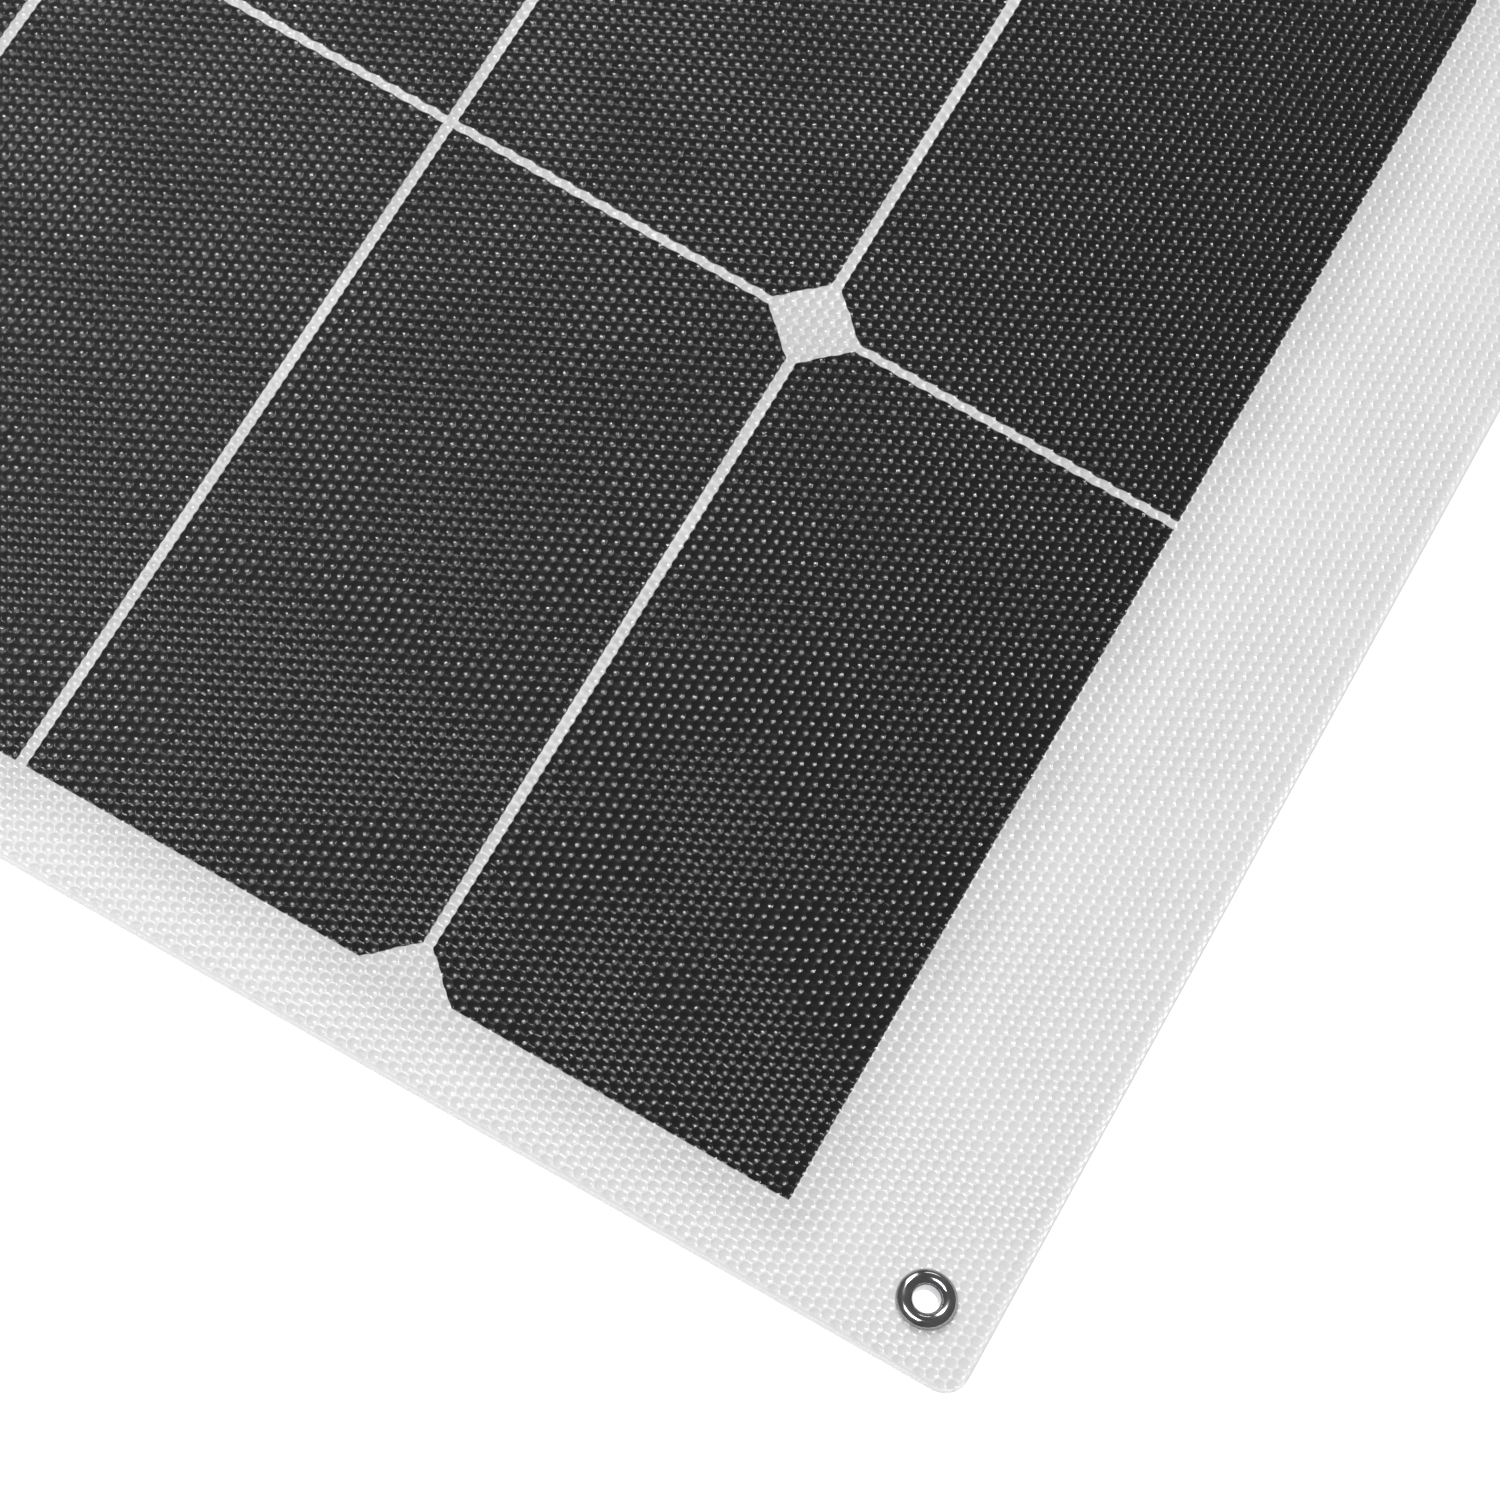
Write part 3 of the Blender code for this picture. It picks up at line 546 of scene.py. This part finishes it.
def silicon():
    """Near-black silicon under a matt encapsulant, lighter in fine speckles and faint clouds."""
    material, nodes, links, cell = new_material("silicon")
    tree = material.node_tree
    emboss, place = add_embossing(nodes, links)
    speckle = maths(tree, "MULTIPLY", noise(nodes, links, 1400.0, place), 0.005)
    cloud = maths(tree, "MULTIPLY", noise(nodes, links, 22.0, place), 0.004)
    # Painted shade: the cells are a little darker in the embossing's bowls.
    shade = maths(tree, "MULTIPLY", emboss.outputs["Bowl"], 0.005)
    tone = maths(tree, "ADD", maths(tree, "ADD", speckle, 0.0035), cloud)
    tone = maths(tree, "SUBTRACT", tone, shade)
    links.new(grey(nodes, links, tone), cell.inputs["Base Color"])
    normal = bump_from(nodes, links, emboss.outputs["Height"], CELL_BUMP)
    links.new(normal, cell.inputs["Normal"])
    cell.inputs["Roughness"].default_value = 0.43
    cell.inputs["Specular IOR Level"].default_value = 0.125
    return material


SILICON = silicon()
for column in range(8):
    x = (column - 3.5) * (CELL_SIZE[0] + COLUMN_GAP)
    for row in range(4):
        y = (row - 1.5) * (CELL_SIZE[1] + ROW_GAP)
        outline = cell_outline(x, y, 1 if column % 2 == 0 else -1)
        x_reach = (x - CELL_SIZE[0] / 2, x + CELL_SIZE[0] / 2)
        y_reach = (y - CELL_SIZE[1] / 2, y + CELL_SIZE[1] / 2)
        points = grid(*x_reach, *y_reach, CELL_BEND_STEP, CELL_MARGIN)
        reach = sum(CELL_SIZE) / 2 - CORNER_CUT - CUT_MARGIN
        points = [p for p in points if abs(p[0] - x) + abs(p[1] - y) < reach]
        where = f"column{column + 1}_row{row + 1}"
        cell = lay("solar_cell_" + where, [outline], points, level(CELL_TOP), BOARD_TOP, points)
        cell.data.materials.append(SILICON)
        bend_with(cell)
        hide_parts("cell_" + where)

# The interconnects: short flat tabs of plated copper under white paint, soldered behind two
# neighbouring cells. Each fills the middle half of its gap, where the sheet looks flat and grey.
TAB_SIZE = (0.00195, 0.0800)
TAB_TOP = 0.00190
TAB_EDGE_STEP = 0.002
TAB_GRAIN_DEPTH = 0.00001
BODY_AT_SEAM = {1: "left_inner", 3: "middle", 5: "right_inner"}


def painted_tab():
    """White paint with fine grain, and painted shade in the film's bowls, as on the board."""
    material, nodes, links, tab = new_material("painted_tab")
    tree = material.node_tree
    emboss, place = add_embossing(nodes, links)
    grain = noise(nodes, links, 500.0, place)
    # Painted shade in the film's bowls, mixed with the paint's grain.
    bowls = maths(tree, "MULTIPLY", emboss.outputs["Bowl"], 0.75)
    grain_and_bowl_shade = maths(tree, "ADD", bowls, maths(tree, "MULTIPLY", grain, 0.25))
    tone = two_tones(nodes, links, grain_and_bowl_shade, (0.88, 0.88, 0.88), (0.54, 0.54, 0.54))
    links.new(tone, tab.inputs["Base Color"])
    links.new(bump_from(nodes, links, grain, TAB_GRAIN_DEPTH), tab.inputs["Normal"])
    tab.inputs["Roughness"].default_value = 0.5
    tab.inputs["Specular IOR Level"].default_value = 0.15
    return material


PAINTED_TAB = painted_tab()
for column in range(7):
    x = (column - 3.0) * (CELL_SIZE[0] + COLUMN_GAP)
    x_low, x_high = x - TAB_SIZE[0] / 2, x + TAB_SIZE[0] / 2
    for row in range(4):
        y = (row - 1.5) * (CELL_SIZE[1] + ROW_GAP)
        y_low, y_high = y - TAB_SIZE[1] / 2, y + TAB_SIZE[1] / 2
        corners = [(x_low, y_low), (x_high, y_low), (x_high, y_high), (x_low, y_high)]
        sides = zip(corners, corners[1:] + corners[:1])
        outline = [p for a, b in sides for p in run(a, b, TAB_EDGE_STEP)]
        name = f"interconnect_{column + 1}_row{row + 1}"
        tab = lay(name, [outline], [], level(TAB_TOP), BOARD_TOP)
        tab.data.materials.append(PAINTED_TAB)
        if column in BODY_AT_SEAM:
            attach(tab, BODY_AT_SEAM[column])
        else:
            bend_with(tab)

# The front film: clear fluoropolymer, laminated over the cells through an embossing roller.
# Its bowls are pressed into the mesh. The rim, where the press plate ends, stays flat.
FILM_TOP = 0.00250
FILM_GAP = 0.00003
FILM_BUMP = 0.00024
BOWL_DEPTH = 0.00010
RIM = 0.0015
SEAM_MARGIN = 0.0004
HOLE_MARGIN = 0.0005


def film_height(x, y):
    """Height of the film's top over a point: the embossing's bowls, pressed into a flat top."""
    from_x = np.abs((x + DIMPLE_COLUMN) % (2 * DIMPLE_COLUMN) - DIMPLE_COLUMN)
    from_y = np.abs((y + DIMPLE_ROW / 2) % DIMPLE_ROW - DIMPLE_ROW / 2)
    to_x, to_y = DIMPLE_COLUMN - from_x, DIMPLE_ROW / 2 - from_y
    square = np.minimum(from_x**2 + from_y**2, to_x**2 + to_y**2)
    inside = np.minimum(SHEET_HALF[0] - np.abs(x), SHEET_HALF[1] - np.abs(y)) > RIM
    return FILM_TOP - BOWL_DEPTH * inside * (1 - square / BOWL_RADIUS**2)


def net_points(x_low, x_high):
    """The middle of every bowl, and the meeting points of the ridges round it."""
    first, last = math.ceil(x_low / DIMPLE_COLUMN), math.floor(x_high / DIMPLE_COLUMN)
    rows = math.floor(SHEET_HALF[1] / DIMPLE_ROW)
    points = []
    for column in range(first, last + 1):
        for row in range(-rows - 1, rows + 1):
            x, y = column * DIMPLE_COLUMN, (row + (column % 2) / 2) * DIMPLE_ROW
            points.append((x, y))
            points.append((x + DIMPLE_COLUMN * 2 / 3, y))
            points.append((x + DIMPLE_COLUMN / 3, y + DIMPLE_ROW / 2))
    points = np.array(points)
    xs, ys = points.T
    keep = (xs > x_low + SEAM_MARGIN) & (xs < x_high - SEAM_MARGIN)
    keep &= (SHEET_HALF[0] - np.abs(xs) > RIM) & (SHEET_HALF[1] - np.abs(ys) > RIM)
    for x, y in EYELET_CENTRES.values():
        keep &= np.hypot(xs - x, ys - y) > EYELET_HOLE_RADIUS + HOLE_MARGIN
    return points[keep]


def clear_film():
    """Clear and shiny: it shows what lies under it, and its bowls throw back the light."""
    material, nodes, links, gloss = new_material("clear_film")
    tree = material.node_tree
    emboss, place = add_embossing(nodes, links)
    haze = noise(nodes, links, 420.0, place)
    normal = bump_from(nodes, links, emboss.outputs["Height"], FILM_BUMP)
    links.new(normal, gloss.inputs["Normal"])
    links.new(stretch(tree, haze, 0.3, 0.7, 0.10, 0.22), gloss.inputs["Roughness"])
    gloss.inputs["Base Color"].default_value = (1.0, 1.0, 1.0, 1.0)
    gloss.inputs["Metallic"].default_value = 1.0
    fresnel = nodes.new("ShaderNodeFresnel")
    fresnel.inputs["IOR"].default_value = 1.42
    links.new(normal, fresnel.inputs["Normal"])
    facing = nodes.new("ShaderNodeNewGeometry")
    front = maths(tree, "SUBTRACT", 1.0, facing.outputs["Backfacing"])
    share = maths(tree, "MULTIPLY", fresnel.outputs["Fac"], front)
    clear = nodes.new("ShaderNodeBsdfTransparent")
    mix = nodes.new("ShaderNodeMixShader")
    links.new(share, mix.inputs["Fac"])
    links.new(clear.outputs["BSDF"], mix.inputs[1])
    links.new(gloss.outputs["BSDF"], mix.inputs[2])
    links.new(mix.outputs["Shader"], nodes["Material Output"].inputs["Surface"])
    return material


CLEAR_FILM = clear_film()
for i, (panel, halves) in enumerate(BOARD_NODES.items()):
    x_low, x_high = SEAMS[i], SEAMS[i + 1]
    loops = panel_loops(x_low, x_high, DIMPLE_ROW / 2, 24)
    over = net_points(x_low, x_high)
    under = grid(x_low, x_high, -SHEET_HALF[1], SHEET_HALF[1], BEND_STEP, BEND_MARGIN)
    film = lay("front_film_" + panel, loops, over, film_height, CELL_TOP + FILM_GAP, under)
    film.data.materials.append(CLEAR_FILM)
    bend_with(film)
    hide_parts(*["film_" + half for half in halves])

# The eyelets: two-part nickel-plated brass. The neck comes up through the sheet as a funnel,
# its flange lies on the front, and the end of the neck is rolled over a washer on the back.
EYELET_PROFILE = (
    (0.00250, 0.00015),
    (0.00250, 0.00235),
    (0.00256, 0.00275),
    (0.00270, 0.00308),
    (0.00292, 0.00338),
    (0.00324, 0.00364),
    (0.00362, 0.00382),
    (0.00402, 0.00390),
    (0.00444, 0.00386),
    (0.00486, 0.00371),
    (0.00524, 0.00345),
    (0.00553, 0.00312),
    (0.00566, 0.00284),
    (0.00567, 0.00267),
    (0.00552, 0.00257),
    (0.00520, 0.00258),
    (0.00305, 0.00258),
    (0.00305, 0.00070),
    (0.00318, 0.00052),
    (0.00345, 0.00040),
    (0.00352, 0.00028),
    (0.00330, 0.00012),
    (0.00290, 0.00004),
    (0.00262, 0.00006),
)
WASHER_PROFILE = (
    (0.00362, 0.00004),
    (0.00380, 0.00000),
    (0.00500, 0.00000),
    (0.00528, 0.00010),
    (0.00535, 0.00028),
    (0.00528, 0.00044),
    (0.00505, 0.00050),
    (0.00375, 0.00050),
    (0.00360, 0.00044),
)


def closed_band(name, places, per_station):
    """A ring-shaped piece through stations of equally many points; the last joins the first."""
    stations = len(places) // per_station
    faces = []
    for i in range(stations):
        here, there = i * per_station, (i + 1) % stations * per_station
        for k in range(per_station):
            m = (k + 1) % per_station
            faces.append((here + k, there + k, there + m, here + m))
    mesh = bpy.data.meshes.new(name)
    mesh.from_pydata(places, [], faces)
    shape = bmesh.new()
    shape.from_mesh(mesh)
    bmesh.ops.recalc_face_normals(shape, faces=shape.faces)
    shape.to_mesh(mesh)
    shape.free()
    mesh.shade_smooth()
    mesh.set_sharp_from_angle(angle=math.radians(50))
    return new_piece(name, mesh)


def turned(name, profile, centre, count=96):
    """A ring turned from a profile of (radius, height)."""
    turns = [math.tau * i / count for i in range(count)]
    places = [(*on_arc(centre, radius, turn), z) for turn in turns for radius, z in profile]
    return closed_band(name, places, len(profile))


def wear_group():
    """Fine scratches and dull patches of handled metal or plastic."""
    inputs = [("Scratch Scale", 900.0), ("Patch Scale", 160.0), ("Dull", 0.25), ("Shiny", 0.12)]
    outputs = [(label, "NodeSocketFloat") for label in ("Scratches", "Patches", "Roughness")]
    group, given, result = shader_group("wear", inputs, outputs)
    where = group.nodes.new("ShaderNodeTexCoord")
    scratches = group.nodes.new("ShaderNodeTexNoise")
    patches = group.nodes.new("ShaderNodeTexNoise")
    for texture, label in ((scratches, "Scratch Scale"), (patches, "Patch Scale")):
        group.links.new(where.outputs["Object"], texture.inputs["Vector"])
        group.links.new(given.outputs[label], texture.inputs["Scale"])
        texture.inputs["Detail"].default_value = 4.0
    group.links.new(scratches.outputs["Fac"], result.inputs["Scratches"])
    group.links.new(patches.outputs["Fac"], result.inputs["Patches"])
    spread = group.nodes.new("ShaderNodeMapRange")
    group.links.new(patches.outputs["Fac"], spread.inputs["Value"])
    group.links.new(given.outputs["Shiny"], spread.inputs["To Min"])
    group.links.new(given.outputs["Dull"], spread.inputs["To Max"])
    spread.inputs["From Min"].default_value = 0.35
    spread.inputs["From Max"].default_value = 0.65
    group.links.new(spread.outputs["Result"], result.inputs["Roughness"])
    return group


WEAR = wear_group()
PATCH_LOW, PATCH_HIGH = 0.3, 0.7


def worn(name, low, high, metallic, scratch_depth, **wear_values):
    """A metal or plastic that varies between two colours, with the shared wear."""
    material, nodes, links, surface = new_material(name)
    wear = add_group(nodes, WEAR, **wear_values)
    tone = two_tones(nodes, links, wear.outputs["Patches"], low, high, PATCH_LOW, PATCH_HIGH)
    links.new(tone, surface.inputs["Base Color"])
    links.new(wear.outputs["Roughness"], surface.inputs["Roughness"])
    normal = bump_from(nodes, links, wear.outputs["Scratches"], scratch_depth)
    links.new(normal, surface.inputs["Normal"])
    surface.inputs["Metallic"].default_value = metallic
    return material


NICKEL = worn(
    "nickel_plate",
    low=(0.34, 0.34, 0.35),
    high=(0.46, 0.46, 0.47),
    metallic=1.0,
    scratch_depth=0.000004,
    Scratch_Scale=2500.0,
    Patch_Scale=300.0,
    Shiny=0.08,
    Dull=0.20,
)
for name, centre in EYELET_CENTRES.items():
    eyelet = turned("grommet_" + name, EYELET_PROFILE, centre)
    washer = turned("grommet_washer_" + name, WASHER_PROFILE, centre)
    for piece, node in ((eyelet, "eyelet_" + name), (washer, "eyelet_washer_" + name)):
        piece.data.materials.append(NICKEL)
        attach(piece, "right_end" if name.startswith("right") else "left_end")
        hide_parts(node)

# The ribbons: tinned copper strip that links the rows at the ends and leads into the box.
# They lie in the board, so only their ends in the box ever show.
TINNED = worn(
    "tinned_copper",
    low=(0.42, 0.41, 0.39),
    high=(0.60, 0.59, 0.57),
    metallic=1.0,
    scratch_depth=0.000006,
    Scratch_Scale=1500.0,
    Patch_Scale=200.0,
    Shiny=0.25,
    Dull=0.45,
)
RIBBONS = (
    "bus_ribbon_left_middle",
    "bus_ribbon_right_lower",
    "bus_ribbon_right_upper",
    "lead_ribbon_lower",
    "lead_ribbon_upper",
)


def finish_node(node, material):
    """Gives a shape that is kept as it is in the CAD model its material."""
    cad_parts[node].data.materials.clear()
    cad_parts[node].data.materials.append(material)


for node in RIBBONS:
    finish_node(node, TINNED)

# The junction box: moulded black plastic, bedded on the front film in a bead of silicone.
# Its lid snaps shut on a finger tab and swings on a barrel hinge. Mould edges are rounded.
MOULD_ROUNDING = 0.0003
PEBBLE_DEPTH = 0.00006
BOX_PARTS = (
    ("box_base", "junction_box_base", "left_end"),
    ("box_cover", "junction_box_lid", "box_lid"),
)


def softened(name, node, width):
    """The CAD node's shape with its sharp edges rounded off."""
    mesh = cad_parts[node].data.copy()
    mesh.materials.clear()
    shape = bmesh.new()
    shape.from_mesh(mesh)
    bmesh.ops.remove_doubles(shape, verts=shape.verts, dist=1e-6)
    flat = math.radians(1.0)
    bmesh.ops.dissolve_limit(shape, angle_limit=flat, verts=shape.verts, edges=shape.edges)
    shape.to_mesh(mesh)
    shape.free()
    piece = new_piece(name, mesh)
    rounding = piece.modifiers.new("rounding", "BEVEL")
    rounding.width = width
    rounding.segments = 3
    rounding.limit_method = "ANGLE"
    rounding.angle_limit = math.radians(35)
    rounding.use_clamp_overlap = True
    mesh.shade_smooth()
    mesh.set_sharp_from_angle(angle=math.radians(60))
    return piece


def moulded_plastic():
    """Black plastic from a spark-eroded mould: a fine pebbled grain, with paler rubbed patches."""
    material, nodes, links, plastic = new_material("moulded_plastic")
    tree = material.node_tree
    wear = add_group(nodes, WEAR, Scratch_Scale=700.0, Patch_Scale=90.0, Shiny=0.36, Dull=0.52)
    where = nodes.new("ShaderNodeTexCoord")
    pebbles = nodes.new("ShaderNodeTexVoronoi")
    pebbles.inputs["Scale"].default_value = 2600.0
    links.new(where.outputs["Object"], pebbles.inputs["Vector"])
    low, high = (0.010, 0.010, 0.011), (0.021, 0.021, 0.022)
    tone = two_tones(nodes, links, wear.outputs["Patches"], low, high, PATCH_LOW, PATCH_HIGH)
    links.new(tone, plastic.inputs["Base Color"])
    links.new(wear.outputs["Roughness"], plastic.inputs["Roughness"])
    scratches = maths(tree, "MULTIPLY", wear.outputs["Scratches"], 0.5)
    relief = maths(tree, "ADD", pebbles.outputs["Distance"], scratches)
    links.new(bump_from(nodes, links, relief, PEBBLE_DEPTH), plastic.inputs["Normal"])
    return material


MOULDED_PLASTIC = moulded_plastic()
for name, node, body in BOX_PARTS:
    piece = softened(name, node, MOULD_ROUNDING)
    piece.data.materials.append(MOULDED_PLASTIC)
    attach(piece, body)
    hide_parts(node)

# The bead: black silicone, squeezed out under the box as it is pressed down.
# It is laid by hand with a gun, so that its width wavers a little on the way round.
BOX_CENTRE_X = -0.34065
BOX_HALF = (0.0170, 0.0460)
BOX_CORNER_RADIUS = 0.003
BEAD_WAVER = 0.10
BEAD_SECTION = (
    (-0.0012, 0.0),
    (0.0010, 0.0),
    (0.00115, 0.00025),
    (0.00095, 0.00060),
    (0.00050, 0.00090),
    (0.00008, 0.00102),
    (-0.0012, 0.00025),
)


def swept_frame(name, centre, half_size, radius, section, waver=0.0):
    """A closed frame: a section of (outward, up) points carried round a rounded rectangle.

    With a waver above 0 its outer side swells and shrinks a little on the way.
    """
    arc_steps, side_step, shortest_side = 8, 0.002, 0.01
    corners = []
    for side_x, side_y, turn in ((-1, -1, 180), (1, -1, 270), (1, 1, 0), (-1, 1, 90)):
        cx = centre[0] + side_x * (half_size[0] - radius)
        cy = centre[1] + side_y * (half_size[1] - radius)
        for i in range(arc_steps + 1):
            corners.append(((cx, cy), math.radians(turn + 90 * i / arc_steps)))
    stations = []
    for i, (middle, turn) in enumerate(corners):
        next_middle, next_turn = corners[(i + 1) % len(corners)]
        here, there = on_arc(middle, radius, turn), on_arc(next_middle, radius, next_turn)
        stations.append((*here, turn))
        if math.dist(here, there) > shortest_side:
            stations += [(x, y, turn) for x, y in run(here, there, side_step)[1:]]
    places = []
    for i, (x, y, turn) in enumerate(stations):
        swell = 1 + waver * (math.sin(0.9 * i) + math.sin(2.3 * i + 1.0))
        for outward, up in section:
            outward *= swell if outward > 0 else 1
            places.append((*on_arc((x, y), outward, turn), centre[2] + up))
    return closed_band(name, places, len(section))


bead_centre = (BOX_CENTRE_X, 0.0, FILM_TOP)
bead = swept_frame(
    "silicone_bead", bead_centre, BOX_HALF, BOX_CORNER_RADIUS, BEAD_SECTION, BEAD_WAVER
)
SILICONE = worn(
    "black_silicone",
    low=(0.030, 0.030, 0.031),
    high=(0.050, 0.050, 0.052),
    metallic=0.0,
    scratch_depth=0.00005,
    Scratch_Scale=500.0,
    Patch_Scale=220.0,
    Shiny=0.28,
    Dull=0.45,
)
bead.data.materials.append(SILICONE)
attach(bead, "left_end")

# The cover's rib: a low rounded ridge of the same black plastic, moulded in one with the cover.
# It runs round the top and stiffens the thin plate.
COVER_TOP = 0.0176
RIB_HALF = (0.0132, 0.0420)
RIB_CORNER_RADIUS = 0.0035
RIB_SECTION = (
    (-0.00070, -0.0001),
    (0.00070, -0.0001),
    (0.00060, 0.00022),
    (0.00030, 0.00040),
    (-0.00030, 0.00040),
    (-0.00060, 0.00022),
)
rib_centre = (BOX_CENTRE_X, 0.0, COVER_TOP)
rib = swept_frame("cover_rib", rib_centre, RIB_HALF, RIB_CORNER_RADIUS, RIB_SECTION)
rib.data.materials.append(MOULDED_PLASTIC)
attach(rib, "box_lid")

# The bypass diode: a chip moulded into black epoxy, soldered across the terminals in the box.
# It keeps its shape from the CAD model.
EPOXY = worn(
    "diode_epoxy",
    low=(0.010, 0.010, 0.011),
    high=(0.020, 0.020, 0.021),
    metallic=0.0,
    scratch_depth=0.00001,
    Scratch_Scale=3000.0,
    Patch_Scale=400.0,
    Shiny=0.30,
    Dull=0.45,
)
finish_node("bypass_diode", EPOXY)

# The terminals: tinned copper strips in the box, to which the ribbons and the diode are soldered.
# They keep their shape from the CAD model too.
for node in ("terminal_negative", "terminal_positive"):
    finish_node(node, TINNED)
